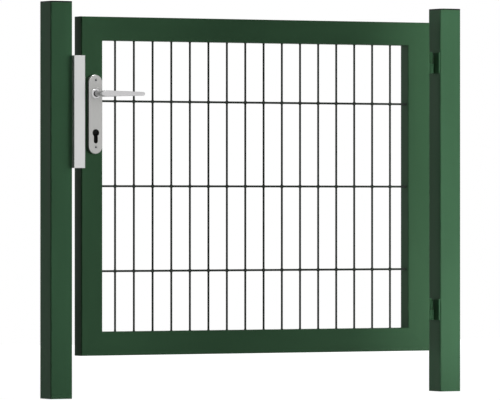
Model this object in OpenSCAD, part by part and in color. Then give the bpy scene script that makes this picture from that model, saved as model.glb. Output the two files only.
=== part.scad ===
// Single garden gate: two square steel posts, a welded tube leaf filled with
// a wire mesh, a mortise lock with lever handles and two pin hinges.
// Millimetres, +Z up. The origin is the middle of the hinge post's foot,
// the lock post stands towards -X, and the leaf opens towards +Y.

/* [Posts] */
// Side of each square post
post_w = 57; // [50:1:80]
// Wall of each post
post_wall = 2; // [1.5:0.5:4]
// Height of each post above the leaf's top edge
post_over_leaf = 32; // [15:1:80]
// Outer corner radius of all square tubes
tube_r = 3; // [2.5:0.5:5]
// Thickness of the rim of a post cap
cap_t = 4; // [1.5:0.5:6]
// Depth that a post cap's plug goes into the post
cap_plug_h = 18; // [10:1:30]
// Wall of a post cap's hollow plug
cap_plug_wall = 2; // [1.5:0.5:3]

/* [Leaf] */
// Width of the leaf
leaf_w = 949.5; // [800:0.5:1200]
// Height of the leaf
leaf_h = 796.5; // [700:0.5:1000]
// Depth of the leaf's frame, front to back
leaf_d = 37.5; // [36:0.5:44]
// Clearance under the leaf
leaf_z = 100; // [60:5:150]
// Face width of the stile that holds the lock
lock_stile_w = 56; // [54:1:80]
// Face width of the stile that holds the hinges
hinge_stile_w = 60.5; // [50:0.5:80]
// Face height of the top rail and the bottom rail
rail_h = 56; // [40:1:80]
// Wall of the leaf's tubes
leaf_wall = 2; // [1.5:0.5:3]
// Gap between the lock post and the leaf
lock_gap = 23.5; // [22:0.5:40]
// Gap between the leaf and the hinge post
hinge_gap = 30.5; // [28:0.5:40]

/* [Mesh] */
// Diameter of the mesh wires
wire_d = 5; // [4:0.5:6]
// Distance between the upright wires
mesh_pitch_x = 50; // [40:5:60]
// Distance between the rows of cross wires
mesh_pitch_z = 200; // [150:10:250]
// Depth by which crossing wires melt into each other where they are welded
weld_depth = 0.6; // [0.4:0.1:1]
// Distance from the leaf's front face to the middle of the mesh
mesh_depth = 17; // [12:0.5:22]

/* [Hinges] */
// Height of a whole hinge
hinge_h = 50; // [45:1:70]
// Distance from the leaf's top edge to the middle of the upper hinge
upper_hinge_inset = 97.5; // [80:0.5:160]
// Distance from the leaf's bottom edge to the middle of the lower hinge
lower_hinge_inset = 99; // [80:1:160]
// Outer diameter of a hinge barrel
barrel_d = 20; // [18:1:22]
// Diameter of a hinge pin
pin_d = 10; // [8:1:12]
// Thickness of the hinge's plate on the post
hinge_plate_t = 3.5; // [3:0.5:4]
// Width of the hinge's plate, front to back
hinge_plate_w = 34; // [30:1:36]
// Thickness of the web that joins a barrel to its plate or stile
hinge_web_t = 8; // [6:1:12]
// Thickness of the washer between the two halves of a hinge
washer_t = 1; // [0.8:0.1:2]
// Distance from the hinge axis to the leaf's back face
axis_to_back = 10; // [5:0.5:10]

/* [Lock] */
// Height of the lever's axis above the ground
handle_z = 715; // [650:1:780]
// Distance from the lever's axis to the middle of the cylinder hole
lock_centres = 92; // [88:1:96]
// Distance from the leaf's edge to the lever's axis
backset = 33.5; // [30:0.5:36]
// Width of a lock plate
plate_w = 36; // [32:1:40]
// Height of a lock plate
plate_h = 186; // [170:1:220]
// Thickness of a lock plate
plate_t = 9; // [6:0.5:12]
// Radius of the rounded edge round a lock plate's face
plate_edge_r = 3.5; // [2:0.5:5]
// Height of a lock plate's middle above the ground
plate_z = 666.5; // [650:0.5:680]
// Diameter of the round part of the cylinder hole
cylinder_d = 17.4; // [17.2:0.1:18]
// Width of the slot under the round part of the cylinder hole
slot_w = 10.4; // [10.2:0.1:11]
// Overall height of the cylinder hole
cylinder_h = 33.4; // [33:0.1:35]
// Thickness of the lock case, front to back
case_t = 15; // [14:1:18]
// Height of the lock case
case_h = 174; // [165:1:178]
// Distance from the leaf's edge to the back of the lock case
case_depth = 50; // [46:1:51]
// Width of the forend, the lock's plate on the edge of the leaf
forend_w = 22; // [20:1:26]
// Height of the forend
forend_h = 230; // [200:1:240]
// Thickness of the forend
forend_t = 3; // [2:0.5:4]

/* [Bolts] */
// Thickness of the latch bolt, front to back
latch_t = 11; // [8:1:12]
// Height of the latch bolt
latch_h = 20; // [16:1:26]
// Distance that the latch bolt stands out of the forend
latch_out = 10; // [6:1:10]
// Height of the latch bolt's middle over the lever's axis
latch_over_handle = 14; // [10:1:20]
// Thickness of the dead bolt, front to back
bolt_t = 9; // [8:1:11]
// Height of the dead bolt
bolt_h = 30; // [24:1:36]
// Distance that the dead bolt stands out of the forend when it is drawn back
bolt_out = 1; // [0.5:0.5:2]
// Height of the dead bolt's middle over the middle of the cylinder hole
bolt_over_cylinder = 34; // [30:1:40]

/* [Lever] */
// Diameter of the lever's neck at the bend
neck_d = 14.6; // [12:0.1:15]
// Diameter of the lever's foot, which turns in the lock plate's collar
foot_d = 17; // [16:1:18]
// Outer diameter of the collar on a lock plate
collar_d = 24; // [22:1:27]
// Height of the collar over the lock plate
collar_t = 3; // [2:0.5:5]
// Distance from the leaf's face to the middle of the lever's grip
lever_reach = 50; // [44:1:60]
// Length of the lever, from its axis to its tip
lever_len = 108; // [95:1:125]
// Height of the grip at the bend
grip_h = 14.6; // [13:0.1:16]
// Thickness of the grip, front to back, past the bend
grip_t = 10; // [8:0.5:12]
// Height of the grip at its tip
tip_h = 8.8; // [7:0.1:10]
// Thickness of the grip, front to back, at its tip
tip_t = 6.5; // [5:0.5:6.5]
// Radius of the bend between the neck and the grip
bend_r = 13; // [10:0.5:15]
// Side of the square spindle
spindle_w = 8; // [7:0.5:9]

/* [Strike] */
// Height of the strike on the lock post
strike_h = 264; // [250:1:300]
// Height of the strike's middle above the ground
strike_z = 672.5; // [660:0.5:690]
// Thickness of the strike's two flanges
strike_t = 5; // [4:0.5:6]
// Width of the flange in front of the leaf
stop_w = 29.5; // [28:0.5:34]
// Distance between the flange and the leaf's front face
stop_gap = 5; // [5:0.5:8]
// Depth of the strike's flange along the post
strike_leg_w = 50; // [40:1:60]
// Radius of the flange's outer edge
strike_edge_r = 3.5; // [2:0.5:3.5]
// Clearance around a bolt in its window in the strike
window_clear = 4; // [3:0.5:6]

/* [Clearances] */
// Radial clearance of a turning fit
run_clear = 0.05; // [0.02:0.01:0.08]
// Radial clearance of the lever's foot in its collar
collar_clear = 0.08; // [0.05:0.01:0.1]
// Clearance between a piece and the opening that it fits in
fit_clear = 0.3; // [0.2:0.1:0.5]

/* [Hidden] */

$fn = 64;
far = 10;  // how far a cutting shape runs past what it cuts

moss_green = [0.19, 0.33, 0.22];
dark_green = [0.14, 0.22, 0.16];
bare_aluminium = [0.80, 0.80, 0.79];
zinc = [0.68, 0.69, 0.70];
black_plastic = [0.08, 0.08, 0.08];

post_h = leaf_z + leaf_h + post_over_leaf;
post_face_x = -post_w / 2;                 // hinge post's face to the leaf
front_y = -post_w / 2;                     // front of the posts and leaf
back_y = front_y + leaf_d;                 // back of the leaf
mid_y = front_y + leaf_d / 2;              // middle of the leaf's depth
mesh_y = front_y + mesh_depth;             // middle of the mesh
leaf_x1 = post_face_x - hinge_gap;         // leaf's hinge edge
leaf_x0 = leaf_x1 - leaf_w;                // leaf's lock edge
lock_face_x = leaf_x0 - lock_gap;          // lock post's face to the leaf
lock_post_x = lock_face_x - post_w / 2;    // middle of the lock post
leaf_top = leaf_z + leaf_h;

open_x0 = leaf_x0 + lock_stile_w;          // the leaf's inner opening
open_x1 = leaf_x1 - hinge_stile_w;
open_z0 = leaf_z + rail_h;
open_z1 = leaf_top - rail_h;
open_w = open_x1 - open_x0;
open_h = open_z1 - open_z0;

axis_x = (leaf_x1 + post_face_x) / 2;      // hinge axis
axis_y = back_y - axis_to_back;
hinge_zs = [leaf_z + lower_hinge_inset, leaf_top - upper_hinge_inset];
knuckle_h = (hinge_h - washer_t - fit_clear) / 2;
hinge_plate_edge = 2;                      // from the post's front to the plate
pin_head_h = 2;
pin_head_d = pin_d + 4;

handle_x = leaf_x0 + backset;
cylinder_z = handle_z - lock_centres;      // middle of the cylinder hole
slot_r = slot_w / 2;
hub_hole_r = foot_d / 2 + 1.5;             // hole in the stile for a lever
spindle_seat = 20;                          // depth of the square seat in a lever
grip_blend = 12;                            // length over which the grip's flats grow
follower_r = spindle_w * sqrt(2) / 2 + fit_clear;
case_z = plate_z;
latch_z = handle_z + latch_over_handle;
bolt_z = cylinder_z + bolt_over_cylinder;
bolt_seat = 26;                            // depth of a bolt in the case
latch_slope = 7;                           // run of the latch's slanted nose

// ---- plain shapes ----

// Rectangle with round corners, centred
module round_rect(w, d, r) {
    square([w - 2 * r, d], center = true);
    square([w, d - 2 * r], center = true);
    for (x = [-1, 1], y = [-1, 1])
        translate([x * (w / 2 - r), y * (d / 2 - r)]) circle(r);
}

// Square tube standing on z = 0
module tube(w, d, h, wall) {
    inner_r = max(tube_r - wall, 0.5);
    linear_extrude(h)
        difference() {
            round_rect(w, d, tube_r);
            round_rect(w - 2 * wall, d - 2 * wall, inner_r);
        }
}

// Outline drawn in X and Z, run through the leaf from y0 to y1
module through(y0, y1)
    translate([0, y1, 0]) rotate([90, 0, 0]) linear_extrude(y1 - y0) children();

// Upright rectangle with half-round ends, centred
module stadium(w, h) {
    square([w, h - w], center = true);
    for (z = [-1, 1]) translate([0, z * (h - w) / 2]) circle(w / 2);
}

// Keyhole outline of the lock cylinder: a circle with a slot under it
module cylinder_outline() {
    top = cylinder_d / 2;
    circle(top);
    translate([-slot_r, top - cylinder_h + slot_r])
        square([slot_w, cylinder_h - top - slot_r]);
    translate([0, top - cylinder_h + slot_r]) circle(slot_r);
}

// Holes for the lever and the lock cylinder, from y0 to y1
module lock_holes(y0, y1, lever_r) {
    through(y0, y1) {
        translate([handle_x, handle_z]) circle(lever_r);
        translate([handle_x, cylinder_z]) cylinder_outline();
    }
}

// Opening for a bolt of thickness t and height h at height z
module bolt_opening(x0, x1, t, h, z, clear)
    translate([x0, mid_y - t / 2 - clear, z - h / 2 - clear])
        cube([x1 - x0, t + 2 * clear, h + 2 * clear]);

// ---- posts ----

module post(x) translate([x, 0, 0]) tube(post_w, post_w, post_h, post_wall);

module post_cap(x) {
    plug_w = post_w - 2 * post_wall - 2 * fit_clear;
    hollow_w = plug_w - 2 * cap_plug_wall;
    translate([x, 0, post_h])
        linear_extrude(cap_t) round_rect(post_w, post_w, tube_r);
    translate([x, 0, post_h - cap_plug_h])
        linear_extrude(cap_plug_h)
            difference() {
                round_rect(plug_w, plug_w, 2);
                round_rect(hollow_w, hollow_w, 1);
            }
}

module lock_post() color(moss_green) post(lock_post_x);

module hinge_post() color(moss_green) post(0);

module lock_post_cap() color(black_plastic) post_cap(lock_post_x);

module hinge_post_cap() color(black_plastic) post_cap(0);

// ---- strike ----

// Windows for the two bolts, which reach to the post's face
module strike_windows(x0, x1) {
    thicker_t = max(latch_t, bolt_t);
    bolt_opening(x0, x1, thicker_t, latch_h, latch_z, window_clear);
    bolt_opening(x0, x1, thicker_t, bolt_h, bolt_z, window_clear);
}

// Outline of the angle, seen from above
module strike_outline() {
    stop_y = front_y - stop_gap - strike_t;
    translate([lock_face_x, stop_y]) {
        square([stop_w - strike_edge_r, strike_t]);
        square([strike_t, strike_leg_w]);
        translate([0, strike_edge_r]) square([stop_w, strike_t - strike_edge_r]);
        intersection() {
            translate([stop_w - strike_edge_r, strike_edge_r]) circle(strike_edge_r);
            square([stop_w, strike_t]);
        }
    }
}

module strike_plate() color(bare_aluminium)
    difference() {
        translate([0, 0, strike_z - strike_h / 2])
            linear_extrude(strike_h) strike_outline();
        strike_windows(lock_face_x - far, lock_face_x + strike_t + far);
    }

// ---- hinges ----

module barrel(h, outer_d, inner_r)
    difference() {
        cylinder(h = h, d = outer_d);
        translate([0, 0, -far]) cylinder(h = h + 2 * far, r = inner_r);
    }

// Lower half: a plate on the post, a web and a barrel that holds the pin
module hinge_bracket(z) {
    bore_r = pin_d / 2 + run_clear;
    z0 = z - hinge_h / 2;
    translate([post_face_x - hinge_plate_t, front_y + hinge_plate_edge, z0])
        cube([hinge_plate_t, hinge_plate_w, hinge_h]);
    translate([axis_x, axis_y, z0])
        difference() {
            union() {
                cylinder(h = knuckle_h, d = barrel_d);
                translate([0, -hinge_web_t / 2, 0])
                    cube([hinge_gap / 2 - hinge_plate_t, hinge_web_t, knuckle_h]);
            }
            translate([0, 0, -far]) cylinder(h = knuckle_h + 2 * far, r = bore_r);
        }
}

// Upper half: a barrel that turns on the pin, and its web to the stile
module hinge_knuckle(z) {
    bore_r = pin_d / 2 + run_clear;
    translate([axis_x, axis_y, z + hinge_h / 2 - knuckle_h])
        difference() {
            union() {
                cylinder(h = knuckle_h, d = barrel_d);
                translate([-hinge_gap / 2, -hinge_web_t / 2, 0])
                    cube([hinge_gap / 2, hinge_web_t, knuckle_h]);
            }
            translate([0, 0, -far]) cylinder(h = knuckle_h + 2 * far, r = bore_r);
        }
}

module hinge_pin(z) {
    translate([axis_x, axis_y, z - hinge_h / 2])
        cylinder(h = hinge_h + fit_clear, d = pin_d);
    translate([axis_x, axis_y, z + hinge_h / 2 + fit_clear])
        cylinder(h = pin_head_h, d = pin_head_d);
}

module hinge_washer(z)
    translate([axis_x, axis_y, z - hinge_h / 2 + knuckle_h])
        barrel(washer_t, barrel_d - 1, pin_d / 2 + run_clear);

module lower_hinge_bracket() color(dark_green) hinge_bracket(hinge_zs[0]);
module upper_hinge_bracket() color(dark_green) hinge_bracket(hinge_zs[1]);
module lower_hinge_knuckle() color(dark_green) hinge_knuckle(hinge_zs[0]);
module upper_hinge_knuckle() color(dark_green) hinge_knuckle(hinge_zs[1]);
module lower_hinge_pin() color(dark_green) hinge_pin(hinge_zs[0]);
module upper_hinge_pin() color(dark_green) hinge_pin(hinge_zs[1]);
module lower_hinge_washer() color(black_plastic) hinge_washer(hinge_zs[0]);
module upper_hinge_washer() color(black_plastic) hinge_washer(hinge_zs[1]);

// ---- leaf frame, mitred at its corners ----

// Stile of face width w with its outer edge at x, reaching inwards along dir
module stile(x, w, dir)
    intersection() {
        translate([x + dir * w / 2, mid_y, leaf_z])
            tube(w, leaf_d, leaf_h, leaf_wall);
        through(front_y - far, back_y + far)
            polygon([
                [x, leaf_z], [x + dir * w, open_z0],
                [x + dir * w, open_z1], [x, leaf_top]
            ]);
    }

// Rail with its outer edge at z_out and its inner edge at z_in
module rail(z_out, z_in)
    intersection() {
        translate([leaf_x0, mid_y, (z_out + z_in) / 2])
            rotate([0, 90, 0]) tube(rail_h, leaf_d, leaf_w, leaf_wall);
        through(front_y - far, back_y + far)
            polygon([
                [leaf_x0, z_out], [open_x0, z_in],
                [open_x1, z_in], [leaf_x1, z_out]
            ]);
    }

module lock_stile() color(moss_green)
    difference() {
        stile(leaf_x0, lock_stile_w, 1);
        lock_holes(front_y - far, back_y + far, hub_hole_r);
        bolt_opening(leaf_x0 - far, leaf_x0 + leaf_wall + far,
            case_t, case_h, case_z, fit_clear);
    }

module hinge_stile() color(moss_green) stile(leaf_x1, hinge_stile_w, -1);

module bottom_rail() color(moss_green) rail(leaf_z, open_z0);

module top_rail() color(moss_green) rail(leaf_top, open_z1);

// ---- mesh: upright wires between two layers of cross wires ----

module mesh_panel() color(dark_green) {
    uprights = floor(open_w / mesh_pitch_x - 0.5);
    rows = floor(open_h / mesh_pitch_z);
    mid_x = (open_x0 + open_x1) / 2;
    mid_z = (open_z0 + open_z1) / 2;
    layer_y = wire_d - weld_depth;
    for (i = [0 : uprights - 1])
        translate([mid_x + (i - (uprights - 1) / 2) * mesh_pitch_x, mesh_y, open_z0])
            cylinder(h = open_h, d = wire_d, $fn = 8);
    for (j = [0 : rows - 1], side = [-1, 1])
        translate([
            open_x0, mesh_y + side * layer_y,
            mid_z + (j - (rows - 1) / 2) * mesh_pitch_z
        ])
            rotate([0, 90, 0]) cylinder(h = open_w, d = wire_d, $fn = 8);
}

// ---- lock ----

// Half of a lock plate's section: its middle at x = 0, its back at y = 0
module plate_half_section() {
    flat_w = plate_w / 2 - plate_edge_r;
    square([flat_w, plate_t]);
    square([plate_w / 2, plate_t - plate_edge_r]);
    translate([flat_w, plate_t - plate_edge_r]) circle(plate_edge_r);
}

// Long plate lying on z = 0 along y, with half-round ends and a rounded edge
module plate_blank() {
    straight_h = plate_h - plate_w;
    rotate([90, 0, 0])
        linear_extrude(straight_h, center = true) {
            plate_half_section();
            mirror([1, 0]) plate_half_section();
        }
    for (turn = [0, 180])
        rotate([0, 0, turn]) translate([0, straight_h / 2, 0])
            rotate_extrude(angle = 180)
                intersection() {
                    plate_half_section();
                    square([plate_w, plate_t]);
                }
}

// Plate on the face at y, standing out along dir, with its lever collar
module lock_plate(y, dir) {
    y_plate = y + dir * plate_t;
    y_collar = y_plate + dir * collar_t;
    lever_r = foot_d / 2 + collar_clear;
    difference() {
        union() {
            translate([handle_x, y, plate_z])
                mirror([0, dir > 0 ? 1 : 0, 0]) rotate([90, 0, 0]) plate_blank();
            through(min(y, y_collar), max(y, y_collar))
                translate([handle_x, handle_z]) circle(collar_d / 2);
        }
        lock_holes(min(y, y_collar) - far, max(y, y_collar) + far, lever_r);
    }
}

module front_lock_plate() color(bare_aluminium) lock_plate(front_y, -1);

module back_lock_plate() color(bare_aluminium) lock_plate(back_y, 1);

module lock_case() color(zinc)
    difference() {
        translate([leaf_x0, mid_y - case_t / 2, case_z - case_h / 2])
            cube([case_depth, case_t, case_h]);
        lock_holes(front_y, back_y, follower_r);
        bolt_opening(leaf_x0 - far, leaf_x0 + bolt_seat, latch_t, latch_h, latch_z, fit_clear);
        bolt_opening(leaf_x0 - far, leaf_x0 + bolt_seat, bolt_t, bolt_h, bolt_z, fit_clear);
    }

module lock_forend() color(bare_aluminium)
    difference() {
        translate([leaf_x0, mid_y, plate_z])
            rotate([0, -90, 0]) linear_extrude(forend_t)
                rotate([0, 0, 90]) stadium(forend_w, forend_h);
        bolt_opening(leaf_x0 - far, leaf_x0 + far, latch_t, latch_h, latch_z, fit_clear);
        bolt_opening(leaf_x0 - far, leaf_x0 + far, bolt_t, bolt_h, bolt_z, fit_clear);
    }

// The nose is slanted on the side that meets the strike when the leaf closes
module latch_bolt() color(zinc) {
    nose_x = leaf_x0 - forend_t - latch_out;
    y0 = mid_y - latch_t / 2;
    translate([0, 0, latch_z - latch_h / 2])
        linear_extrude(latch_h)
            polygon([
                [leaf_x0 + bolt_seat, y0],
                [leaf_x0 + bolt_seat, y0 + latch_t],
                [nose_x, y0 + latch_t],
                [nose_x, y0 + latch_t * 0.6],
                [nose_x + latch_slope, y0]
            ]);
}

module dead_bolt() color(zinc)
    bolt_opening(leaf_x0 - forend_t - bolt_out, leaf_x0 + bolt_seat, bolt_t, bolt_h, bolt_z, 0);

// ---- lever handles ----

// Lever on the face at y, standing out along dir and pointing to +X
module lever(y, dir) {
    y_grip = y + dir * lever_reach;
    y_bend = y_grip - dir * bend_r;
    y_foot = y + dir * (plate_t + collar_t + 2);
    difference() {
        union() {
            through(min(y, y_foot), max(y, y_foot))
                translate([handle_x, handle_z]) circle(foot_d / 2);
            translate([handle_x, y_foot, handle_z]) rotate([dir > 0 ? -90 : 90, 0, 0])
                cylinder(h = abs(y_bend - y_foot), d1 = foot_d, d2 = neck_d);
        }
        translate([
            handle_x - spindle_w / 2 - run_clear,
            min(y - dir, y + dir * spindle_seat),
            handle_z - spindle_w / 2 - run_clear
        ])
            cube([spindle_w + 2 * run_clear, spindle_seat + 1, spindle_w + 2 * run_clear]);
    }
    translate([handle_x + bend_r, y_bend, handle_z])
        rotate([0, 0, dir > 0 ? 90 : 180])
            rotate_extrude(angle = 90) translate([bend_r, 0]) circle(neck_d / 2);
    translate([handle_x + bend_r, y_grip, handle_z]) lever_grip();
}

// Tapered grip along +X, flattened at its front and back
module lever_grip() {
    grip_len = lever_len - bend_r - tip_h / 2;
    intersection() {
        union() {
            rotate([0, 90, 0]) cylinder(h = grip_len, d1 = grip_h, d2 = tip_h);
            translate([grip_len, 0, 0]) sphere(d = tip_h);
        }
        translate([0, 0, -grip_h]) linear_extrude(2 * grip_h)
            polygon([
                [-1, -grip_h], [0, -grip_h / 2 - 0.5], [grip_blend, -grip_t / 2],
                [grip_len, -tip_t / 2], [grip_len + tip_h, -tip_t / 2],
                [grip_len + tip_h, tip_t / 2], [grip_len, tip_t / 2],
                [grip_blend, grip_t / 2], [0, grip_h / 2 + 0.5], [-1, grip_h]
            ]);
    }
}

module front_lever() color(bare_aluminium) lever(front_y, -1);

module back_lever() color(bare_aluminium) lever(back_y, 1);

module spindle() color(zinc) {
    overlap = 18;  // how far the spindle goes into each lever
    translate([handle_x - spindle_w / 2, front_y - overlap, handle_z - spindle_w / 2])
        cube([spindle_w, leaf_d + 2 * overlap, spindle_w]);
}

lock_post();
hinge_post();
lock_post_cap();
hinge_post_cap();
strike_plate();
upper_hinge_bracket();
lower_hinge_bracket();
upper_hinge_pin();
lower_hinge_pin();
upper_hinge_washer();
lower_hinge_washer();
upper_hinge_knuckle();
lower_hinge_knuckle();
lock_stile();
hinge_stile();
top_rail();
bottom_rail();
mesh_panel();
front_lock_plate();
back_lock_plate();
lock_case();
lock_forend();
latch_bolt();
dead_bolt();
front_lever();
back_lever();
spindle();
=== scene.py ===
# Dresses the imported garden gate: powder-coated steel, wire mesh, lock set and hinges.
import math

import bmesh
import bpy
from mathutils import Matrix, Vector


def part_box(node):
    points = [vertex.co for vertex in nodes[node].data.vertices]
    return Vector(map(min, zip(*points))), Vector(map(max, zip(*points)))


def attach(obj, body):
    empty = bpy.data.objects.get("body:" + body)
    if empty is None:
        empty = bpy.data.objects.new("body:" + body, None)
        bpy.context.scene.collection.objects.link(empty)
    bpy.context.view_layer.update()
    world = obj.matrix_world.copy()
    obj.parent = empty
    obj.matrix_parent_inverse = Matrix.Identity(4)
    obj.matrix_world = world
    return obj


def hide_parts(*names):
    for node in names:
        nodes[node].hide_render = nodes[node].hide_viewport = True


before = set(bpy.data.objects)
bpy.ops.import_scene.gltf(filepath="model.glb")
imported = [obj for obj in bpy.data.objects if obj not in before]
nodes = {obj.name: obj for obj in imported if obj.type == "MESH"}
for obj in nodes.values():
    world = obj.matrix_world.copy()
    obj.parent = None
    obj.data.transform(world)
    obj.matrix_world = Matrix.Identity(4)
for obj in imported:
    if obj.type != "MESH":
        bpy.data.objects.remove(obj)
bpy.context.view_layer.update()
mm = 0.001
print("frame loaded:", len(nodes), "nodes")


def hexToLinear(hexColour):
    channels = [int(hexColour[i:i + 2], 16) / 255 for i in (1, 3, 5)]
    linear = [c / 12.92 if c <= 0.04045 else ((c + 0.055) / 1.055) ** 2.4 for c in channels]
    return (*linear, 1.0)


def addNode(tree, kind, values=None, links=None, **settings):
    node = tree.nodes.new(kind)
    for name, value in settings.items():
        setattr(node, name, value)
    for socket, value in (values or {}).items():
        node.inputs[socket].default_value = value
    for socket, source in (links or {}).items():
        tree.links.new(source, node.inputs[socket])
    return node


def emptyTree(owner):
    # The nodes of a material or the world, switched on and cleared
    owner.use_nodes = True
    owner.node_tree.nodes.clear()
    return owner.node_tree


def startMaterial(name, values):
    material = bpy.data.materials.new(name)
    tree = emptyTree(material)
    shader = addNode(tree, "ShaderNodeBsdfPrincipled", values=values)
    addNode(tree, "ShaderNodeOutputMaterial", links={"Surface": shader.outputs["BSDF"]})
    place = addNode(tree, "ShaderNodeTexCoord").outputs["Object"]
    return material, tree, shader, place


noiseRange = {"From Min": 0.3, "From Max": 0.7}     # a noise texture seldom goes past these

coat = {
    "mossGreen": "#335139",
    "postGreen": "#3A5C42",     # a shade lighter than the leaf's green
    "meshGreen": "#363C37",
    "roughness": 0.49,
    "roughnessDrift": 0.05,
    "sheen": 0.07,              # the film reflects little, which keeps its green deep
    "peelSize": 2.2,            # orange peel is 1 to 2 mm across, drawn a little coarser so that it shows
    "peelHeight": 0.03,
    "peelStrength": 0.25,
    "driftSize": 45,            # the film grows thicker and thinner over a hand's width
    "driftStretch": 6,          # and runs in long soft streaks along the tubes
    "driftDepth": 0.07,
}


def makePowderCoat(name, colour, upright=True):
    # Polyester powder coat on galvanised steel, sprayed and baked: an even satin film with orange peel
    material, tree, shader, place = startMaterial(
        name, {"Roughness": coat["roughness"], "Specular IOR Level": coat["sheen"], "IOR": 1.5})
    squeeze = 1 / coat["driftStretch"]
    run = addNode(tree, "ShaderNodeMapping", links={"Vector": place},
                  values={"Scale": (1, 1, squeeze) if upright else (squeeze, 1, 1)})
    drift = addNode(tree, "ShaderNodeTexNoise", links={"Vector": run.outputs["Vector"]},
                    values={"Scale": 1 / (coat["driftSize"] * mm), "Detail": 2.0})
    tone = addNode(tree, "ShaderNodeMapRange", links={"Value": drift.outputs["Fac"]},
                   values={**noiseRange, "To Min": 1 - coat["driftDepth"], "To Max": 1 + coat["driftDepth"]})
    base = addNode(tree, "ShaderNodeMix", data_type="RGBA", blend_type="MULTIPLY",
                   values={0: 1.0, 6: hexToLinear(colour)}, links={7: tone.outputs["Result"]})
    tree.links.new(base.outputs[2], shader.inputs["Base Color"])
    gloss = addNode(tree, "ShaderNodeMapRange", links={"Value": drift.outputs["Fac"]},
                    values={**noiseRange, "To Min": coat["roughness"] - coat["roughnessDrift"],
                            "To Max": coat["roughness"] + coat["roughnessDrift"]})
    tree.links.new(gloss.outputs["Result"], shader.inputs["Roughness"])
    peel = addNode(tree, "ShaderNodeTexNoise", links={"Vector": place},
                   values={"Scale": 1 / (coat["peelSize"] * mm), "Detail": 2.0})
    bump = addNode(tree, "ShaderNodeBump", links={"Height": peel.outputs["Fac"]},
                   values={"Strength": coat["peelStrength"], "Distance": coat["peelHeight"] * mm})
    tree.links.new(bump.outputs["Normal"], shader.inputs["Normal"])
    return material


metal = {"roughnessDrift": 0.06, "grainStrength": 0.15, "grainHeight": 0.02, "grainDetail": 3.0}


def makeMetal(name, colour, roughness, grain, stretch=(1, 1, 1)):
    # Bare metal, whose grain rolling or brushing has drawn out along one axis. The grain is in
    # millimetres, and several times coarser than the real one, so that it shows
    material, tree, shader, place = startMaterial(
        name, {"Base Color": hexToLinear(colour), "Metallic": 1.0, "Roughness": roughness})
    run = addNode(tree, "ShaderNodeMapping", links={"Vector": place}, values={"Scale": stretch})
    noise = addNode(tree, "ShaderNodeTexNoise", links={"Vector": run.outputs["Vector"]},
                    values={"Scale": 1 / (grain * mm), "Detail": metal["grainDetail"]})
    gloss = addNode(tree, "ShaderNodeMapRange", links={"Value": noise.outputs["Fac"]},
                    values={**noiseRange, "To Min": roughness - metal["roughnessDrift"],
                            "To Max": roughness + metal["roughnessDrift"]})
    tree.links.new(gloss.outputs["Result"], shader.inputs["Roughness"])
    bump = addNode(tree, "ShaderNodeBump", links={"Height": noise.outputs["Fac"]},
                   values={"Strength": metal["grainStrength"], "Distance": metal["grainHeight"] * mm})
    tree.links.new(bump.outputs["Normal"], shader.inputs["Normal"])
    return material


plastic = {
    "roughness": 0.55,
    "sheen": 0.1,
    "grainSize": 0.6,       # a spark-eroded grain is about half as wide, drawn coarser so that it shows
    "grainHeight": 0.03,
    "grainStrength": 0.3,
}


def makePlastic(name, colour):
    # Moulded polyamide: near black, with a fine grain from the mould that scatters the light
    material, tree, shader, place = startMaterial(
        name, {"Base Color": hexToLinear(colour), "Roughness": plastic["roughness"],
               "Specular IOR Level": plastic["sheen"]})
    grain = addNode(tree, "ShaderNodeTexNoise", links={"Vector": place},
                    values={"Scale": 1 / (plastic["grainSize"] * mm), "Detail": 2.0})
    bump = addNode(tree, "ShaderNodeBump", links={"Height": grain.outputs["Fac"]},
                   values={"Strength": plastic["grainStrength"], "Distance": plastic["grainHeight"] * mm})
    tree.links.new(bump.outputs["Normal"], shader.inputs["Normal"])
    return material


leafCoat = makePowderCoat("mossGreenPowderCoat", coat["mossGreen"])
railCoat = makePowderCoat("mossGreenPowderCoatOnRails", coat["mossGreen"], upright=False)
postCoat = makePowderCoat("mossGreenPowderCoatOnPosts", coat["postGreen"])
meshCoat = makePowderCoat("darkGreenPowderCoatOnWire", coat["meshGreen"])
# Extruded and left as it comes: pale and dull, with faint lines up its length
strikeAluminium = makeMetal("millFinishAluminium", "#D3D4D3", 0.5, 0.8, stretch=(1, 1, 0.06))
# Brushed, then anodised: an even grey satin
plateAluminium = makeMetal("satinAnodisedAluminium", "#B5B5B3", 0.45, 0.8, stretch=(1, 1, 0.06))
# Polished before it is anodised, so that it shows soft highlights along the grip
leverAluminium = makeMetal("polishedAnodisedAluminium", "#C8C7C8", 0.35, 0.8, stretch=(0.06, 1, 1))
# Rolled and brushed along the forend: tighter highlights than the aluminium
stainless = makeMetal("brushedStainlessSteel", "#B9BABA", 0.36, 0.5, stretch=(1, 1, 0.04))
# Steel made near black: painted shade in the depth of each socket
socketSteelWithPaintedShade = makeMetal("nearBlackPaintedShadeInScrewSockets", "#232423", 0.6, 1.0)
# Plated in a barrel: cool grey with a slightly mottled gloss
zinc = makeMetal("zincPlatedSteel", "#A9ACAF", 0.42, 1.5)
blackPlastic = makePlastic("blackPolyamide", "#0F100F")
# A near-black sheet down the keyhole's walls: painted shade for the depth of the hole
paintedKeyholeShade = makePlastic("nearBlackPaintedKeyholeShade", "#060606")
print("materials made")

meshing = {
    "mergeDistance": 0.002,     # millimetres
    "flatAngle": 1,             # degrees; faces that meet at less are one flat face
    "sharpAngle": 32,           # edges past this stay sharp
    "bevelAngle": 35,           # edges past this are rounded
    "bevelSteps": 2,
}


def addObject(name, data):
    thing = bpy.data.objects.new(name, data)
    bpy.context.scene.collection.objects.link(thing)
    return thing


def shadeSmooth(mesh):
    bm = bmesh.new()
    bm.from_mesh(mesh)
    for face in bm.faces:
        face.smooth = True
    for edge in bm.edges:
        edge.smooth = edge.calc_face_angle(math.pi) < math.radians(meshing["sharpAngle"])
    bm.to_mesh(mesh)
    bm.free()


def finishPiece(piece, body, slot, *replaced):
    shadeSmooth(piece.data)
    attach(piece, body)
    if replaced:
        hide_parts(*replaced)


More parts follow.
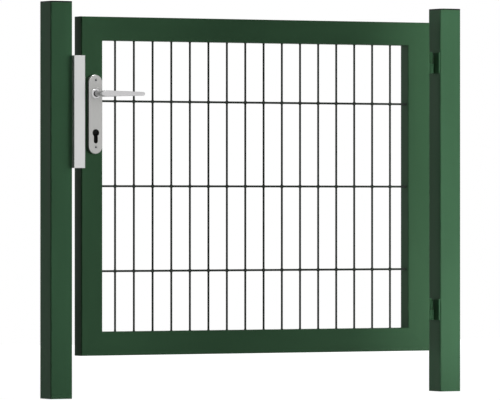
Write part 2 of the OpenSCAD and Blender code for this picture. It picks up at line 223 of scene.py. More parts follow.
def placeMesh(name, mesh, materials, body, slot, *replaced):
    piece = addObject(name, mesh)
    for material in materials:
        mesh.materials.append(material)
    finishPiece(piece, body, slot, *replaced)


def keepModified(piece):
    # Turns what the modifiers make of a piece into its plain mesh
    graph = bpy.context.evaluated_depsgraph_get()
    mesh = bpy.data.meshes.new_from_object(piece.evaluated_get(graph), depsgraph=graph)
    piece.modifiers.clear()
    piece.data = mesh


def meshFrom(bm, name):
    bmesh.ops.remove_doubles(bm, verts=bm.verts[:], dist=meshing["mergeDistance"] * mm)
    bmesh.ops.recalc_face_normals(bm, faces=bm.faces[:])
    mesh = bpy.data.meshes.new(name)
    bm.to_mesh(mesh)
    bm.free()
    return mesh


def loftRings(bm, rings, capFirst=False, capLast=False, material=0):
    # Joins closed rings of equally many points with quads; returns the loops of vertices
    loops = [[bm.verts.new(point) for point in ring] for ring in rings]
    for near, far in zip(loops, loops[1:]):
        for i in range(len(near)):
            j = (i + 1) % len(near)
            bm.faces.new((near[i], near[j], far[j], far[i])).material_index = material
    for loop, wanted in ((loops[0], capFirst), (loops[-1], capLast)):
        if wanted:
            bm.faces.new(loop).material_index = material
    return loops


def fillBetween(bm, rims):
    # Closes a flat face inside its outer rim, round the rims of its holes
    edges = []
    for rim in rims:
        edges += [bm.edges.get(pair) for pair in zip(rim, rim[1:] + rim[:1])]
    bmesh.ops.triangle_fill(bm, edges=edges, use_beauty=True, use_dissolve=False)


def circlePoints(radius, count=48):
    angles = [2 * math.pi * i / count for i in range(count)]
    return [(radius * math.cos(a), radius * math.sin(a)) for a in angles]


def arcPoints(radius, start, end, count, centre=(0, 0)):
    angles = [math.radians(start + (end - start) * i / count) for i in range(count + 1)]
    return [(centre[0] + radius * math.cos(a), centre[1] + radius * math.sin(a)) for a in angles]


def quarterRound(inset, rise, steps):
    # How far a rounded edge has come in and up at each step, from upright to level
    angles = [math.pi / 2 * i / steps for i in range(steps + 1)]
    return [(inset * (1 - math.cos(a)), rise * math.sin(a)) for a in angles]


def startTree(name, sizes):
    tree = bpy.data.node_groups.new(name, "GeometryNodeTree")
    for label, kind in sizes.items():
        tree.interface.new_socket(label, in_out="INPUT", socket_type="NodeSocket" + kind)
    tree.interface.new_socket("Geometry", in_out="OUTPUT", socket_type="NodeSocketGeometry")
    return tree, addNode(tree, "NodeGroupInput").outputs


def endTree(tree, geometry, material, markedFaces=None, markedMaterial=None):
    # Faces marked by a named attribute can have a second material
    whole = addNode(tree, "GeometryNodeRealizeInstances", links={0: geometry})
    painted = addNode(tree, "GeometryNodeSetMaterial",
                      values={"Material": material}, links={"Geometry": whole.outputs[0]})
    if markedFaces:
        mark = addNode(tree, "GeometryNodeInputNamedAttribute", data_type="BOOLEAN",
                       values={"Name": markedFaces})
        painted = addNode(tree, "GeometryNodeSetMaterial", values={"Material": markedMaterial},
                          links={"Geometry": painted.outputs[0], "Selection": mark.outputs[0]})
    addNode(tree, "NodeGroupOutput", links={"Geometry": painted.outputs[0]})


def growPiece(name, tree, sizes, seedMesh=None):
    # Runs a tree once with its sizes set and keeps the result as a plain mesh
    piece = addObject(name, seedMesh or bpy.data.meshes.new(name))
    growth = piece.modifiers.new("growth", "NODES")
    growth.node_group = tree
    inputs = {item.name: item.identifier for item in tree.interface.items_tree
              if item.item_type == "SOCKET" and item.in_out == "INPUT"}
    for label, value in sizes.items():
        growth[inputs[label]] = value
    keepModified(piece)
    return piece


wireMesh = {
    "wireRadius": 2.45, "sides": 12,
    "uprightPitch": 50, "rowPitch": 200,
    "sideReach": 0.75, "endReach": 0.5,     # least reach past the outer wires, as shares of a pitch
    "spotSize": (4.2, 1.5, 4.2),            # crossing wires melt into each other where they are welded
    "endSize": 3.2,                         # weld at each wire's end, where it meets the frame
}


def buildWireTree(material):
    tree, given = startTree("wireMesh", {
        "Width": "Float", "Height": "Float", "Uprights": "Int", "Upright Pitch": "Float",
        "Rows": "Int", "Row Pitch": "Float", "Wire Radius": "Float", "Layer": "Float",
        "Spot Size": "Vector", "End Size": "Vector", "Centre": "Vector"})

    def half(source, sign=1):
        return addNode(tree, "ShaderNodeMath", operation="MULTIPLY",
                       values={1: 0.5 * sign}, links={0: source}).outputs[0]

    def along(axis, source):
        return addNode(tree, "ShaderNodeCombineXYZ", links={axis: source}).outputs[0]

    def wire(axis, length):
        line = addNode(tree, "GeometryNodeCurvePrimitiveLine",
                       links={"Start": along(axis, half(length, -1)), "End": along(axis, half(length))})
        section = addNode(tree, "GeometryNodeCurvePrimitiveCircle",
                          values={"Resolution": wireMesh["sides"]},
                          links={"Radius": given["Wire Radius"]})
        return addNode(tree, "GeometryNodeCurveToMesh", values={"Fill Caps": True},
                       links={"Curve": line.outputs[0], "Profile Curve": section.outputs[0]}).outputs[0]

    def spread(axis, count, pitch):
        # A row of points, centred, with one step of the pitch between them
        gaps = addNode(tree, "ShaderNodeMath", operation="SUBTRACT", values={1: 1.0},
                       links={0: given[count]})
        span = addNode(tree, "ShaderNodeMath", operation="MULTIPLY",
                       links={0: gaps.outputs[0], 1: given[pitch]})
        return addNode(tree, "GeometryNodeMeshLine", links={
            "Count": given[count], "Start Location": along(axis, half(span.outputs[0], -1)),
            "Offset": along(axis, given[pitch])}).outputs[0]

    def copyOn(points, instance, scale=None):
        links = {"Points": points, "Instance": instance}
        if scale:
            links["Scale"] = scale
        return addNode(tree, "GeometryNodeInstanceOnPoints", links=links).outputs[0]

    def join(*parts):
        node = addNode(tree, "GeometryNodeJoinGeometry")
        for part in reversed(parts):
            tree.links.new(part, node.inputs[0])
        return node.outputs[0]

    def bothSides(geometry, axis, distance):
        # The same thing twice, at plus and minus a distance along an axis
        moved = []
        for sign in (1, -1):
            step = addNode(tree, "ShaderNodeMath", operation="MULTIPLY", values={1: sign},
                           links={0: distance})
            moved.append(addNode(tree, "GeometryNodeTransform", links={
                "Geometry": geometry, "Translation": along(axis, step.outputs[0])}).outputs[0])
        return join(*moved)

    blob = addNode(tree, "GeometryNodeMeshIcoSphere",
                   values={"Radius": 1.0, "Subdivisions": 2}).outputs[0]
    columns = spread("X", "Uprights", "Upright Pitch")
    rows = spread("Z", "Rows", "Row Pitch")
    uprights = copyOn(columns, wire("Z", given["Height"]))
    crossWires = bothSides(copyOn(rows, wire("X", given["Width"])), "Y", given["Layer"])
    crossings = addNode(tree, "GeometryNodeRealizeInstances", links={0: copyOn(columns, rows)})
    spots = bothSides(copyOn(crossings.outputs[0], blob, given["Spot Size"]),
                      "Y", half(given["Layer"]))
    upperEnds = bothSides(copyOn(columns, blob, given["End Size"]), "Z", half(given["Height"]))
    sideEnds = bothSides(copyOn(rows, blob, given["End Size"]), "X", half(given["Width"]))
    sideEnds = bothSides(sideEnds, "Y", given["Layer"])
    whole = join(uprights, crossWires, spots, upperEnds, sideEnds)
    placed = addNode(tree, "GeometryNodeTransform",
                     links={"Geometry": whole, "Translation": given["Centre"]})
    endTree(tree, placed.outputs[0], material)
    return tree


def buildWireMesh():
    low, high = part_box("mesh_panel")
    width, depth, height = high - low
    uprightPitch, rowPitch = wireMesh["uprightPitch"] * mm, wireMesh["rowPitch"] * mm
    uprights = math.floor(width / uprightPitch - 2 * wireMesh["sideReach"]) + 1
    rows = math.floor(height / rowPitch - 2 * wireMesh["endReach"]) + 1
    piece = growPiece("wire_mesh", buildWireTree(meshCoat), {
        "Width": width, "Height": height, "Uprights": uprights, "Upright Pitch": uprightPitch,
        "Rows": rows, "Row Pitch": rowPitch, "Wire Radius": wireMesh["wireRadius"] * mm,
        "Layer": depth / 2 - wireMesh["wireRadius"] * mm,
        "Spot Size": [size * mm for size in wireMesh["spotSize"]],
        "End Size": [wireMesh["endSize"] * mm] * 3,
        "Centre": list((low + high) / 2)})
    finishPiece(piece, "leaf", "mesh_powder_coat", "mesh_panel")
    print("wire mesh:", uprights, "uprights,", rows, "double rows,", len(piece.data.polygons), "faces")


buildWireMesh()

screw = {
    "sides": 24,
    "headRadius": 3.7, "headDepth": 1.8, "headEdge": 0.3, "footShare": 0.55,
    "faceBevel": (0.2, 0.1),        # in from the head's side, and down from its face
    "socketRadius": 2.4, "socketDepth": 1.5, "socketBevel": 0.12,
    "seatRadius": 3.9, "seatDepth": 2.5, "seatBevel": (0.25, 0.5),
    "sink": 0.15,                   # each head lies just under its plate's face
    "drillSides": 32, "drillReach": 1,
    "forendInset": 14,              # from each end of the forend
    "strikeInset": 18,              # from each end of the strike
    "strikeMiddle": 24,             # over the strike's middle
    "strikeBack": 24,               # from the strike's back edge
    "strikeThickness": 5,
    "seed": 7,
}

lockPlate = {
    "width": 36, "height": 186, "thickness": 9, "edgeRadius": 3.5, "edgeSteps": 6, "endSteps": 24,
    "lockCentres": 92,              # from the lever's axis down to the middle of the cylinder hole
    "holeRadius": 8.7, "slotWidth": 10.4, "holeHeight": 33.4, "holeEdge": 0.4,
    "holeSteps": 36, "slotSteps": 14,
    "keyholeShadeDepth": 0.9,             # the near-black sheet of painted shade in the keyhole starts this far under the plate's face
    "keyholeShadeInset": 0.4,
    "keyholeShadeGap": 0.5,               # the two sheets of painted shade nearly meet in the lock case
    "collarRadius": 12, "collarHeight": 3, "collarCrown": 4.6, "collarSteps": 8,
    "bushRadius": 7.2, "bushSink": 1.4, "bushEdge": 0.4,
    "screwHeights": (80.5, -77),    # from the plate's middle
}

leafLow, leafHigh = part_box("lock_stile")


def leafFace(side):
    # The way out from the leaf on a side, and where that face of the leaf lies
    return (-1, leafLow.y) if side == "front" else (1, leafHigh.y)


def leverPlace():
    # The lever's axis: the middle of the square spindle
    low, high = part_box("spindle")
    return (low.x + high.x) / 2 / mm, (low.z + high.z) / 2 / mm


def stadiumPoints(width, height, inset=0):
    # Upright strip with half-round ends
    radius = width / 2 - inset
    rise = (height - width) / 2
    return (arcPoints(radius, 0, 180, lockPlate["endSteps"], (0, rise))
            + arcPoints(radius, 180, 360, lockPlate["endSteps"], (0, -rise)))


def keyholePoints(grow=0):
    # Circle with a slot under it, which ends in a half circle; grow widens it all round
    big = lockPlate["holeRadius"] + grow
    small = lockPlate["slotWidth"] / 2 + grow
    bottom = lockPlate["holeRadius"] - lockPlate["holeHeight"] + lockPlate["slotWidth"] / 2
    meet = math.degrees(math.asin(small / big))
    return (arcPoints(big, -90 + meet, 270 - meet, lockPlate["holeSteps"])
            + arcPoints(small, 180, 360, lockPlate["slotSteps"], (0, bottom)))


def buildLockPlate(side):
    size = lockPlate
    thick = size["thickness"]
    low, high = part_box(side + "_lock_plate")
    out, face = leafFace(side)
    middleX = (low.x + high.x) / 2 / mm
    middleZ = (low.z + high.z) / 2 / mm
    leverZ = leverPlace()[1]
    cylinderZ = leverZ - size["lockCentres"]

    def stand(points, height, centreZ=middleZ):
        # Puts a flat outline upright on the leaf's face, at a height over it
        return [((middleX + x) * mm, face + out * height * mm, (centreZ + z) * mm)
                for x, z in points]

    bm = bmesh.new()
    shell = [stand(stadiumPoints(size["width"], size["height"]), 0)]
    for inset, rise in quarterRound(size["edgeRadius"], size["edgeRadius"], size["edgeSteps"]):
        outline = stadiumPoints(size["width"], size["height"], inset)
        shell.append(stand(outline, thick - size["edgeRadius"] + rise))
    rims = [loftRings(bm, shell)[-1]]

    collarTop = thick + size["collarHeight"]
    collar = [stand(circlePoints(size["collarRadius"] - inset), thick + rise, leverZ)
              for inset, rise in quarterRound(size["collarCrown"], size["collarHeight"], size["collarSteps"])]
    bush = stand(circlePoints(size["bushRadius"]), collarTop - size["bushSink"], leverZ)
    collar += [stand(circlePoints(size["bushRadius"]), collarTop - size["bushEdge"], leverZ), bush]
    rims.append(loftRings(bm, collar, material=2)[0])
    loftRings(bm, [bush], capLast=True, material=1)

    edge, keyholeShadeTop = size["holeEdge"], thick - size["keyholeShadeDepth"]
    wall = [stand(keyholePoints(edge), thick, cylinderZ),
            stand(keyholePoints(), thick - edge, cylinderZ),
            stand(keyholePoints(), keyholeShadeTop, cylinderZ)]
    rims.append(loftRings(bm, wall)[0])
    # Further in, the keyhole's wall is a near-black sheet: painted shade for the depth of the hole
    innerHole = keyholePoints(-size["keyholeShadeInset"])
    keyholeShadeReach = (leafHigh.y - leafLow.y) / mm / 2 - size["keyholeShadeGap"]
    keyholeShade = [wall[-1], stand(innerHole, keyholeShadeTop, cylinderZ), stand(innerHole, -keyholeShadeReach, cylinderZ)]
    loftRings(bm, keyholeShade, material=3)

    bevelWide, bevelDeep = screw["seatBevel"]
    seatSteps = ((bevelWide, 0), (0, bevelDeep), (0, screw["seatDepth"]))
    for height in size["screwHeights"]:
        seat = [stand(circlePoints(screw["seatRadius"] + wider, screw["sides"]), thick - depth,
                      middleZ + height) for wider, depth in seatSteps]
        rims.append(loftRings(bm, seat, capLast=True)[0])
    fillBetween(bm, rims)
    placeMesh(side + "_plate", meshFrom(bm, side + "_plate"),
              [plateAluminium, blackPlastic, leverAluminium, paintedKeyholeShade],
              "leaf", "bare_aluminium", side + "_lock_plate")


lever = {
    "rootSink": 3, "rootRadius": 5.8, "neckRadius": 6.8, "neckSteps": 6,
    "bendRadius": 7.2, "bendSteps": 12, "reach": 50,
    "length": 108, "gripHeight": 14.6, "gripThickness": 12.4, "gripSteps": 20,
    "tipHeight": 8.8, "tipThickness": 6.5, "tipTurn": 84, "tipFullness": 0.7, "tipSteps": 6,
    "squareness": 3.4, "sides": 40,
}


def ovalPoints(halfThick, halfHigh, squareness, count):
    # Superellipse: squareness 2 is a circle or an ellipse, 4 a bar with flat sides
    points = []
    for i in range(count):
        angle = 2 * math.pi * i / count
        c, s = math.cos(angle), math.sin(angle)
        points.append((halfThick * math.copysign(abs(c) ** (2 / squareness), c),
                       halfHigh * math.copysign(abs(s) ** (2 / squareness), s)))
    return points


def between(start, end, share):
    return start + (end - start) * share


def leverStations():
    # Distance along the gate, height over the leaf, direction, half thickness, half height, squareness
    size = lever
    root, neck = size["rootRadius"], size["neckRadius"]
    bend, reach = size["bendRadius"], size["reach"]
    gripThick, gripHigh = size["gripThickness"] / 2, size["gripHeight"] / 2
    tipThick, tipHigh = size["tipThickness"] / 2, size["tipHeight"] / 2
    rootHeight = lockPlate["thickness"] + lockPlate["collarHeight"] - size["rootSink"]
    taperEnd = size["length"] - tipHigh
    stations = []
    for step in range(size["neckSteps"] + 1):
        share = step / size["neckSteps"]
        radius = between(root, neck, share ** 2)
        stations.append((0, between(rootHeight, reach - bend, share), 0, radius, radius, 2))
    for step in range(1, size["bendSteps"] + 1):
        share = step / size["bendSteps"]
        angle = math.radians(90) * share
        stations.append((bend * (1 - math.cos(angle)), reach - bend + bend * math.sin(angle), angle,
                         between(neck, gripThick, share), between(neck, gripHigh, share),
                         between(2, size["squareness"], share)))
    for step in range(1, size["gripSteps"] + 1):
        share = step / size["gripSteps"]
        stations.append((between(bend, taperEnd, share), reach, math.pi / 2,
                         between(gripThick, tipThick, share), between(gripHigh, tipHigh, share),
                         size["squareness"]))
    for step in range(1, size["tipSteps"] + 1):
        angle = math.radians(size["tipTurn"] * step / size["tipSteps"])
        stations.append((taperEnd + tipHigh * math.sin(angle), reach, math.pi / 2,
                         tipThick * math.cos(angle) ** size["tipFullness"], tipHigh * math.cos(angle),
                         size["squareness"]))
    return stations


def buildLever(side):
    out, face = leafFace(side)
    axisX, axisZ = leverPlace()
    rings = []
    for x, height, turn, halfThick, halfHigh, squareness in leverStations():
        ring = []
        for u, v in ovalPoints(halfThick, halfHigh, squareness, lever["sides"]):
            # u lies in the bend's plane, square to the way the lever runs; v is upright
            ring.append(((axisX + x + u * math.cos(turn)) * mm,
                         face + out * (height - u * math.sin(turn)) * mm,
                         (axisZ + v) * mm))
        rings.append(ring)
    bm = bmesh.new()
    loftRings(bm, rings, capFirst=True, capLast=True)
    mesh = meshFrom(bm, side + "_handle")
    placeMesh(side + "_handle", mesh, [leverAluminium], "levers", "bare_aluminium", side + "_lever")


for side in ("front", "back"):
    buildLockPlate(side)
    buildLever(side)
print("lock plates and levers built")

cap = {
    "rimHeight": 4, "corner": 3, "cornerSteps": 6,
    "edge": 1.2, "edgeSteps": 4, "edgeCorner": 0.6,     # the corner tightens by this share of the edge
    "crown": 0.9, "crownWidth": 0.45, "crownSink": 0.1,
    "plugInset": 2.3, "plugCorner": 1.5,
}


def squarePoints(width, corner):
    points = []
    half = width / 2 - corner
    for turn, (x, y) in enumerate(((half, half), (-half, half), (-half, -half), (half, -half))):
        points += arcPoints(corner, 90 * turn, 90 * turn + 90, cap["cornerSteps"], (x, y))
    return points


def buildCap(side):
    # A plug that goes down into the tube, under a lid that lies on its end
    low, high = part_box(side + "_post_cap")
    centre = (low + high) / 2
    width = (high.x - low.x) / mm
    plugWidth = width - 2 * cap["plugInset"]
    top = high.z / mm
    under = top - cap["rimHeight"]

    def lay(wide, corner, z):
        return [(centre.x + x * mm, centre.y + y * mm, z * mm) for x, y in squarePoints(wide, corner)]

    rings = [lay(plugWidth, cap["plugCorner"], low.z / mm), lay(plugWidth, cap["plugCorner"], under),
             lay(width, cap["corner"], under)]
    edgeStart = top - cap["crown"] - cap["edge"]
    for inset, rise in quarterRound(cap["edge"], cap["edge"], cap["edgeSteps"]):
        rings.append(lay(width - 2 * inset, cap["corner"] - inset * cap["edgeCorner"], edgeStart + rise))
    rings.append(lay(width * cap["crownWidth"], cap["corner"], top - cap["crownSink"]))
    bm = bmesh.new()
    loftRings(bm, rings, capFirst=True, capLast=True)
    mesh = meshFrom(bm, side + "_cap")
    placeMesh(side + "_cap", mesh, [blackPlastic], "posts", "black_plastic", side + "_post_cap")


for side in ("lock", "hinge"):
    buildCap(side)
print("post caps built")


def forendScrews():
    # The middle of each head's seat, and the way that the head looks
    low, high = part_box("lock_forend")
    inset = screw["forendInset"] * mm
    return [((low.x, (low.y + high.y) / 2, z), (-1, 0, 0)) for z in (low.z + inset, high.z - inset)]


def strikeScrews():
    # The same on the strike's leg: one at each end, and one over the middle to clear the bolts
    low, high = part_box("strike_plate")
    inset = screw["strikeInset"] * mm
    legFace = low.x + screw["strikeThickness"] * mm
    overMiddle = (low.z + high.z) / 2 + screw["strikeMiddle"] * mm
    return [((legFace, high.y - screw["strikeBack"] * mm, z), (1, 0, 0))
            for z in (low.z + inset, overMiddle, high.z - inset)]


def makeDrill(seats):
    # The bores of a plate's screws, as one cutter that stands a little out of the plate's face
    bm = bmesh.new()
    for (x, y, z), facing in seats:
        rings = [[(x + facing[0] * depth * mm, y + a * mm, z + b * mm)
                  for a, b in circlePoints(screw["seatRadius"], screw["drillSides"])]
                 for depth in (screw["drillReach"], -screw["seatDepth"])]
        loftRings(bm, rings, capFirst=True, capLast=True)
    return addObject("drill", meshFrom(bm, "drill"))


def softenNode(name, bevel, material, body, slot, seats=()):
    # Takes a copy of a CAD piece, merges it, rounds its sharp edges and bores the seats of its screws
    bm = bmesh.new()
    bm.from_mesh(nodes[name].data)
    bmesh.ops.remove_doubles(bm, verts=bm.verts[:], dist=meshing["mergeDistance"] * mm)
    bmesh.ops.dissolve_limit(bm, angle_limit=math.radians(meshing["flatAngle"]),
                             verts=bm.verts[:], edges=bm.edges[:])
    mesh = bpy.data.meshes.new(name + "_edged")
    bm.to_mesh(mesh)
    bm.free()
    piece = addObject(name + "_edged", mesh)
    rounding = piece.modifiers.new("edges", "BEVEL")
    rounding.width = bevel * mm
    rounding.segments = meshing["bevelSteps"]
    rounding.limit_method = "ANGLE"
    rounding.angle_limit = math.radians(meshing["bevelAngle"])
    if seats:
        drill = makeDrill(seats)
        boring = piece.modifiers.new("seats", "BOOLEAN")
        boring.object = drill
        boring.solver = "EXACT"
    keepModified(piece)
    if seats:
        bpy.data.objects.remove(drill)
    shadeSmooth(piece.data)
    flats = piece.modifiers.new("flats", "WEIGHTED_NORMAL")     # flat faces keep a flat sheen
    flats.keep_sharp = True
    keepModified(piece)
    piece.data.polygons.foreach_set("material_index", [0] * len(piece.data.polygons))
    piece.data.materials.clear()
    piece.data.materials.append(material)
    finishPiece(piece, body, slot, name)


softened = {        # bevel in millimetres, material, body and slot
    "strike_plate": (0.5, strikeAluminium, "posts", "bare_aluminium"),
    "upper_hinge_bracket": (1.6, postCoat, "posts", "green_powder_coat"),
    "lower_hinge_bracket": (1.6, postCoat, "posts", "green_powder_coat"),
    "upper_hinge_pin": (0.8, postCoat, "posts", "green_powder_coat"),
    "lower_hinge_pin": (0.8, postCoat, "posts", "green_powder_coat"),
    "upper_hinge_knuckle": (0.8, leafCoat, "leaf", "green_powder_coat"),
    "lower_hinge_knuckle": (0.8, leafCoat, "leaf", "green_powder_coat"),
    "lock_forend": (0.3, stainless, "leaf", "stainless_steel"),
    "latch_bolt": (0.6, stainless, "leaf", "stainless_steel"),
    "dead_bolt": (0.6, stainless, "leaf", "stainless_steel"),
}
seatsOf = {"lock_forend": forendScrews(), "strike_plate": strikeScrews()}
for name, (bevel, material, body, slot) in softened.items():
    softenNode(name, bevel, material, body, slot, seatsOf.get(name, ()))

finishes = {        # of the pieces that keep their CAD shape; the others have the leaf's coat
    "upper_hinge_washer": blackPlastic, "lower_hinge_washer": blackPlastic,
    "lock_case": zinc, "spindle": zinc, "top_rail": railCoat, "bottom_rail": railCoat,
    "lock_post": postCoat, "hinge_post": postCoat,
}
for name, node in nodes.items():
    node.data.materials.clear()
    node.data.materials.append(finishes.get(name, leafCoat))
print("edges softened and finishes set")


def makeScrewHead():
    # Countersunk head with a hexagon socket; its face lies at z = 0 and looks along +Z
    size = screw
    bevelIn, bevelDown = size["faceBevel"]
    bm = bmesh.new()
    head = [[(x * mm, y * mm, z * mm) for x, y in circlePoints(radius, size["sides"])] for radius, z in (
        (size["headRadius"] * size["footShare"], -size["headDepth"]), (size["headRadius"], -size["headEdge"]),
        (size["headRadius"], -bevelDown), (size["headRadius"] - bevelIn, 0))]
    socket = [[(x * mm, y * mm, z * mm) for x, y in circlePoints(radius, 6)] for radius, z in (
        (size["socketRadius"] + size["socketBevel"], 0), (size["socketRadius"], -size["socketBevel"]),
        (size["socketRadius"], -size["socketDepth"]))]
    fillBetween(bm, [loftRings(bm, head, capFirst=True)[-1],
                     loftRings(bm, socket, capLast=True, material=1)[0]])
    mesh = meshFrom(bm, "screwHead")
    inside = [face.material_index == 1 for face in mesh.polygons]
    mesh.attributes.new("socket", "BOOLEAN", "FACE").data.foreach_set("value", inside)
    return addObject("screwHead", mesh)


def pointMesh(name, spots):
    # Loose points, each with the way that its copy faces
    mesh = bpy.data.meshes.new(name)
    mesh.from_pydata([place for place, facing in spots], [], [])
    mesh.attributes.new("facing", "FLOAT_VECTOR", "POINT")
    mesh.attributes["facing"].data.foreach_set(
        "vector", [value for place, facing in spots for value in facing])
    return mesh


def buildScrewTree(material):
    tree, given = startTree("screwRow", {"Seats": "Geometry", "Screw": "Object"})
    model = addNode(tree, "GeometryNodeObjectInfo", links={"Object": given["Screw"]})
    facing = addNode(tree, "GeometryNodeInputNamedAttribute", data_type="FLOAT_VECTOR",
                     values={"Name": "facing"})
    turn = addNode(tree, "FunctionNodeAlignRotationToVector", axis="Z",
                   links={"Vector": facing.outputs[0]})
    # Each hexagon socket is turned its own way, by up to the sixth of a turn after which it repeats
    spin = addNode(tree, "FunctionNodeRandomValue", data_type="FLOAT",
                   values={2: 0.0, 3: math.pi / 3, "Seed": screw["seed"]})
    twist = addNode(tree, "ShaderNodeCombineXYZ", links={"Z": spin.outputs[1]})
    turned = addNode(tree, "FunctionNodeRotateRotation", rotation_space="LOCAL",
                     links={"Rotation": turn.outputs[0], "Rotate By": twist.outputs[0]})
    copies = addNode(tree, "GeometryNodeInstanceOnPoints", links={
        "Points": given["Seats"], "Instance": model.outputs["Geometry"],
        "Rotation": turned.outputs[0]})
    # The socket faces take the near-black steel, painted shade
    endTree(tree, copies.outputs[0], material, "socket", socketSteelWithPaintedShade)
    return tree


def buildScrews():
    head = makeScrewHead()
    tree = buildScrewTree(stainless)
    leafSeats, postSeats = forendScrews(), strikeScrews()
    for side in ("front", "back"):
        low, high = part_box(side + "_lock_plate")
        out, face = leafFace(side)
        for height in lockPlate["screwHeights"]:
            place = ((low.x + high.x) / 2, face + out * lockPlate["thickness"] * mm,
                     (low.z + high.z) / 2 + height * mm)
            leafSeats.append((place, (0, out, 0)))
    for name, seats, body in (("leaf_screws", leafSeats, "leaf"), ("strike_screws", postSeats, "posts")):
        sunk = [(Vector(place) - Vector(facing) * screw["sink"] * mm, facing) for place, facing in seats]
        piece = growPiece(name, tree, {"Screw": head}, pointMesh(name, sunk))
        finishPiece(piece, body, "stainless_steel")
    bpy.data.objects.remove(head)
    print("screws:", len(leafSeats) + len(postSeats))


buildScrews()

weld = {
    "radius": 2.2, "flatness": 0.75, "ripple": 1.6, "jitter": 0.12, "seed": 11,
    "cornerInset": 4,       # the leaf's corner seams stop this far from its front and back
    "knuckleSpacing": 4,    # each hinge barrel has a seam this far to either side of its middle
    "endInset": 1,          # the hinges' seams stop short of the edges they run to
    "bracketInset": 3,      # and the brackets' seams further short of the front
}


def buildWeldTree(material):
    # A seam is a row of overlapping flat beads, each a little different in size
    tree, given = startTree("weldSeams", {
        "Path": "Geometry", "Radius": "Float", "Flatness": "Float", "Jitter": "Float", "Seed": "Int"})
    blob = addNode(tree, "GeometryNodeMeshIcoSphere", values={"Radius": 1.0, "Subdivisions": 2})
    least = addNode(tree, "ShaderNodeMath", operation="SUBTRACT", values={0: 1.0},
                    links={1: given["Jitter"]})
    size = addNode(tree, "FunctionNodeRandomValue", data_type="FLOAT", values={3: 1.0},
                   links={2: least.outputs[0], "Seed": given["Seed"]})
    radius = addNode(tree, "ShaderNodeMath", operation="MULTIPLY",
                     links={0: size.outputs[1], 1: given["Radius"]})
    depth = addNode(tree, "ShaderNodeMath", operation="MULTIPLY",
                    links={0: radius.outputs[0], 1: given["Flatness"]})
    scale = addNode(tree, "ShaderNodeCombineXYZ", links={
        "X": radius.outputs[0], "Y": radius.outputs[0], "Z": depth.outputs[0]})
    facing = addNode(tree, "GeometryNodeInputNamedAttribute", data_type="FLOAT_VECTOR",
                     values={"Name": "facing"})
    turn = addNode(tree, "FunctionNodeAlignRotationToVector", axis="Z",
                   links={"Vector": facing.outputs[0]})
    beads = addNode(tree, "GeometryNodeInstanceOnPoints", links={
        "Points": given["Path"], "Instance": blob.outputs[0],
        "Rotation": turn.outputs[0], "Scale": scale.outputs[0]})
    endTree(tree, beads.outputs[0], material)
    return tree


def seam(start, end, facing):
    # Points along a weld, one for each ripple, that face half way between the two walls they join
    start, end = Vector(start), Vector(end)
    facing = Vector(facing).normalized()
    count = max(2, round((end - start).length / (weld["ripple"] * mm)))
    return [(start.lerp(end, i / count), facing) for i in range(count + 1)]


def buildWelds():
    leafSeams, postSeams = [], []
    panelLow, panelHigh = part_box("mesh_panel")
    frontY, backY = leafLow.y + weld["cornerInset"] * mm, leafHigh.y - weld["cornerInset"] * mm
    endInset = weld["endInset"] * mm
    for x, alongX in ((panelLow.x, 1), (panelHigh.x, -1)):
        for z, alongZ in ((panelLow.z, 1), (panelHigh.z, -1)):
            leafSeams += seam((x, frontY, z), (x, backY, z), (alongX, 0, alongZ))
    for level in ("upper", "lower"):
        low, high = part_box(level + "_hinge_knuckle")
        for side in (-1, 1):
            y = (low.y + high.y) / 2 + side * weld["knuckleSpacing"] * mm
            leafSeams += seam((low.x, y, low.z + endInset), (low.x, y, high.z - endInset), (1, side, 0))
        low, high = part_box(level + "_hinge_bracket")
        for z, side in ((low.z, -1), (high.z, 1)):
            postSeams += seam((high.x, low.y + weld["bracketInset"] * mm, z),
                              (high.x, high.y - endInset, z), (-1, 0, side))
    for name, seams, body, finish in (("leaf_welds", leafSeams, "leaf", leafCoat),
                                      ("post_welds", postSeams, "posts", postCoat)):
        piece = growPiece(name, buildWeldTree(finish), {
            "Radius": weld["radius"] * mm, "Flatness": weld["flatness"],
            "Jitter": weld["jitter"], "Seed": weld["seed"]}, pointMesh(name, seams))
        finishPiece(piece, body, "green_powder_coat")
    print("welds:", len(leafSeams) + len(postSeams), "ripples")


buildWelds()

camera = {
    "place": (-6.7348, -11.246, 0.4602),
    "azimuth": 28.841,
    "lens": 386.69,
    "sensor": 36,
    "shiftY": 0.00466,
    "farClip": 100,
}
lens = bpy.data.cameras.new("camera")
lens.sensor_width = camera["sensor"]
lens.lens = camera["lens"]
lens.shift_y = camera["shiftY"]
lens.clip_end = camera["farClip"]
view = addObject("camera", lens)
view.location = camera["place"]
view.rotation_euler = (math.radians(90), 0, -math.radians(camera["azimuth"]))
bpy.context.scene.camera = view

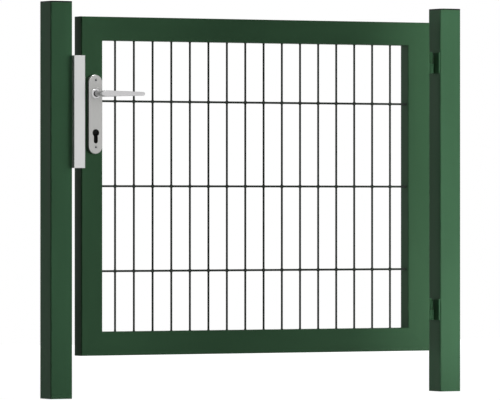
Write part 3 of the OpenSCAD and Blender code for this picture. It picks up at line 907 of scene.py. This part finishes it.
# The softboxes light the whole gate, and a grid keeps each strip or spot on the pieces it aims at.
# A lamp that isn't mirrored leaves no streak on the bare metal
lamps = {
    "rightSoftbox": {"place": (4.2, -2.8, 1.4), "aim": (-0.5, 0, 0.47), "size": (3, 3),
                     "power": 224, "spread": 180, "mirrored": False},
    "backSoftbox": {"place": (-6.0, 4.4, 1.3), "aim": (-0.1, 0, 0.47), "size": (3, 3),
                    "power": 74, "spread": 180, "mirrored": True},
    "rearSoftbox": {"place": (2.6, 5.2, 1.8), "aim": (-0.5, 0, 0.47), "size": (3, 3),
                    "power": 140, "spread": 180, "mirrored": False},
    "frontStripWithGrid": {"place": (0.1, -2.0, 0.35), "aim": (-0.03, 0, 0.35), "size": (0.1, 2.6),
                           "power": 1.55, "spread": 14, "mirrored": False},
    "rightKicker": {"place": (0.9, -0.75, 0.14), "aim": (-0.05, 0, 0.14), "size": (0.15, 0.24),
                    "power": 0.21, "spread": 40, "mirrored": True},
    "leftStripWithGrid": {"place": (-2.2, -1.5, 0.35), "aim": (-0.05, 0, 0.35), "size": (0.15, 2.6),
                          "power": 0.25, "spread": 15, "mirrored": True},
    "lockTopWithGrid": {"place": (-0.985, -0.1, 1.5), "aim": (-0.985, -0.036, 0.715),
                        "size": (0.08, 0.03), "power": 0.014, "spread": 10, "mirrored": True},
    "lockSpotWithGrid": {"place": (0.6, -1.9, 0.6), "aim": (-1.07, 0, 0.5), "size": (0.15, 1.6),
                         "power": 0.69, "spread": 17, "mirrored": False},
}
for name, lamp in lamps.items():
    light = bpy.data.lights.new(name, "AREA")
    light.shape = "RECTANGLE"
    light.size, light.size_y = lamp["size"]
    light.energy = lamp["power"]
    light.spread = math.radians(lamp["spread"])
    holder = addObject(name, light)
    holder.location = lamp["place"]
    aim = Vector(lamp["aim"]) - Vector(lamp["place"])
    holder.rotation_euler = aim.to_track_quat("-Z", "Y").to_euler()
    holder.visible_glossy = lamp["mirrored"]

stage = {
    "worldFill": 0.02,          # the little light that the world adds to the lamps
    "worldSeen": 1.0,
    "paperCorners": [(-7, -4, 0), (5, -4, 0), (5, 4.2, 0), (-7, 4.2, 0)],
    "paperTone": 0.85,
    "paperSeen": 0.96,          # with the faint tone on top, white that still takes the gate's shadow
    "paperFaintTone": 0.25,
    "cardCorners": [(-1.43, -0.05, 0), (-1.12, 0.12, 0), (-1.12, 0.12, 1.1), (-1.43, -0.05, 1.1)],
    "cardTone": 0.45,
}
white = (1, 1, 1, 1)


def seenDirectly(tree):
    # 1 where the camera sees a thing, also in metal and through glass, and 0 where it only lights others
    ray = addNode(tree, "ShaderNodeLightPath").outputs
    either = addNode(tree, "ShaderNodeMath", operation="MAXIMUM",
                     links={0: ray["Is Camera Ray"], 1: ray["Is Glossy Ray"]})
    return addNode(tree, "ShaderNodeMath", operation="MAXIMUM",
                   links={0: either.outputs[0], 1: ray["Is Transmission Ray"]}).outputs[0]


def addStagePiece(name, corners, material):
    mesh = bpy.data.meshes.new(name)
    mesh.from_pydata(corners, [], [(0, 1, 2, 3)])
    mesh.materials.append(material)
    piece = addObject(name, mesh)
    return piece


world = bpy.data.worlds.new("studio")
bpy.context.scene.world = world
tree = emptyTree(world)
fill = addNode(tree, "ShaderNodeBackground", values={"Color": white, "Strength": stage["worldFill"]})
seen = addNode(tree, "ShaderNodeBackground", values={"Color": white, "Strength": stage["worldSeen"]})
both = addNode(tree, "ShaderNodeMixShader",
               links={0: seenDirectly(tree), 1: fill.outputs[0], 2: seen.outputs[0]})
addNode(tree, "ShaderNodeOutputWorld", links={"Surface": both.outputs[0]})

paper = bpy.data.materials.new("whiteStudioPaper")
tree = emptyTree(paper)
matt = addNode(tree, "ShaderNodeBsdfDiffuse", values={"Color": (*[stage["paperTone"]] * 3, 1)})
faint = addNode(tree, "ShaderNodeBsdfDiffuse", values={"Color": (*[stage["paperFaintTone"]] * 3, 1)})
plain = addNode(tree, "ShaderNodeEmission", values={"Color": white, "Strength": stage["paperSeen"]})
shown = addNode(tree, "ShaderNodeAddShader", links={0: faint.outputs[0], 1: plain.outputs[0]})
both = addNode(tree, "ShaderNodeMixShader",
               links={0: seenDirectly(tree), 1: matt.outputs[0], 2: shown.outputs[0]})
addNode(tree, "ShaderNodeOutputMaterial", links={"Surface": both.outputs[0]})
addStagePiece("floor", stage["paperCorners"], paper)

# A grey card beside the lock post, out of view, which only the sheen on that post's left side shows
grey = bpy.data.materials.new("greyCard")
tree = emptyTree(grey)
tone = addNode(tree, "ShaderNodeEmission", values={"Color": white, "Strength": stage["cardTone"]})
addNode(tree, "ShaderNodeOutputMaterial", links={"Surface": tone.outputs[0]})
card = addStagePiece("greyCard", stage["cardCorners"], grey)
card.visible_camera = card.visible_diffuse = card.visible_shadow = False
bpy.context.scene.view_settings.view_transform = "Standard"
print("stage, lamps and camera set")
